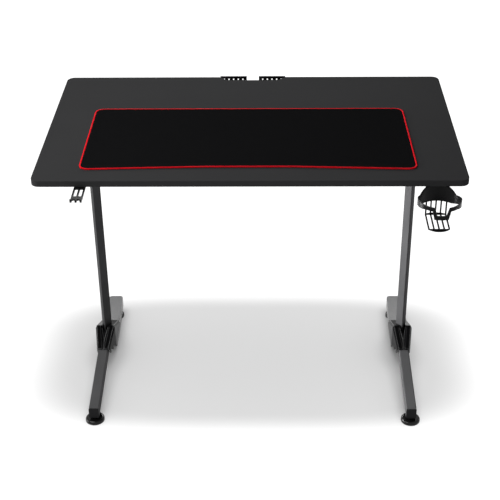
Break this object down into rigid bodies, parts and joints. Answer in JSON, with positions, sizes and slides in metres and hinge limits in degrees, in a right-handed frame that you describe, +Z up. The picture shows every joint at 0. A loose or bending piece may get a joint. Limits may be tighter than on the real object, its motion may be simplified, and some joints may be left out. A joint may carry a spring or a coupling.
{
  "type": "gaming desk",
  "caption": "Gaming desk: dark worktop with a wide cloth mat on diamond posts and splayed feet, with a cage cup holder, a headphone hook and rear cable trays.",
  "frame": {"origin": "on the floor, below the middle of the desk's overall outline", "axes": "+X to the sitter's right, +Y from the sitter to the rear edge, +Z up"},
  "size_m": [1, 0.7276, 0.753],
  "materials": {
    "worktop_laminate": "dark grey fibre-look foil, satin",
    "mat_cloth": "fine black cloth",
    "mat_edge": "red overlock stitching",
    "powder_coat": "black powder coat, satin",
    "boot_plastic": "black, smooth facets",
    "cap_plastic": "black, matt",
    "pad_plastic": "black, glossy",
    "fitting_plastic": "black, satin",
    "zinc_steel": "zinc plated"
  },
  "bodies": {
    "desk": {"left_column": "powder_coat", "left_column_plate": "powder_coat", "left_top_rail": "powder_coat", "left_front_foot": "powder_coat", "left_rear_foot": "powder_coat", "left_front_end_cap": "cap_plastic", "left_inner_boot": "boot_plastic", "left_outer_boot": "boot_plastic", "left_cable_tray": "fitting_plastic", "right_column": "powder_coat", "right_column_plate": "powder_coat", "right_top_rail": "powder_coat", "right_front_foot": "powder_coat", "right_rear_foot": "powder_coat", "right_front_end_cap": "cap_plastic", "right_inner_boot": "boot_plastic", "right_outer_boot": "boot_plastic", "right_cable_tray": "fitting_plastic", "front_cross_beam": "powder_coat", "rear_cross_beam": "powder_coat", "desktop": "worktop_laminate", "mouse_mat": "mat_cloth", "mat_binding": "mat_edge", "cup_holder": "fitting_plastic", "headphone_hook": "fitting_plastic", "foot_nuts": "zinc_steel", "rail_screws": "zinc_steel", "plate_bolts": "zinc_steel", "beam_bolts": "zinc_steel", "cup_holder_screws": "zinc_steel", "hook_screws": "zinc_steel", "tray_screws": "zinc_steel"},
    "front_left_foot": {"front_left_foot_pad": "pad_plastic", "front_left_foot_stem": "zinc_steel"},
    "front_right_foot": {"front_right_foot_pad": "pad_plastic", "front_right_foot_stem": "zinc_steel"},
    "rear_left_foot": {"rear_left_foot_pad": "pad_plastic", "rear_left_foot_stem": "zinc_steel"},
    "rear_right_foot": {"rear_right_foot_pad": "pad_plastic", "rear_right_foot_stem": "zinc_steel"}
  },
  "joints": [
    {"name": "front_left_foot_height", "type": "slide", "parent": "desk", "child": "front_left_foot", "axis": [0, 0, 1], "range_m": [-0.01, 0]},
    {"name": "front_right_foot_height", "type": "slide", "parent": "desk", "child": "front_right_foot", "axis": [0, 0, 1], "range_m": [-0.01, 0]},
    {"name": "rear_left_foot_height", "type": "slide", "parent": "desk", "child": "rear_left_foot", "axis": [0, 0, 1], "range_m": [-0.01, 0]},
    {"name": "rear_right_foot_height", "type": "slide", "parent": "desk", "child": "rear_right_foot", "axis": [0, 0, 1], "range_m": [-0.01, 0]}
  ]
}
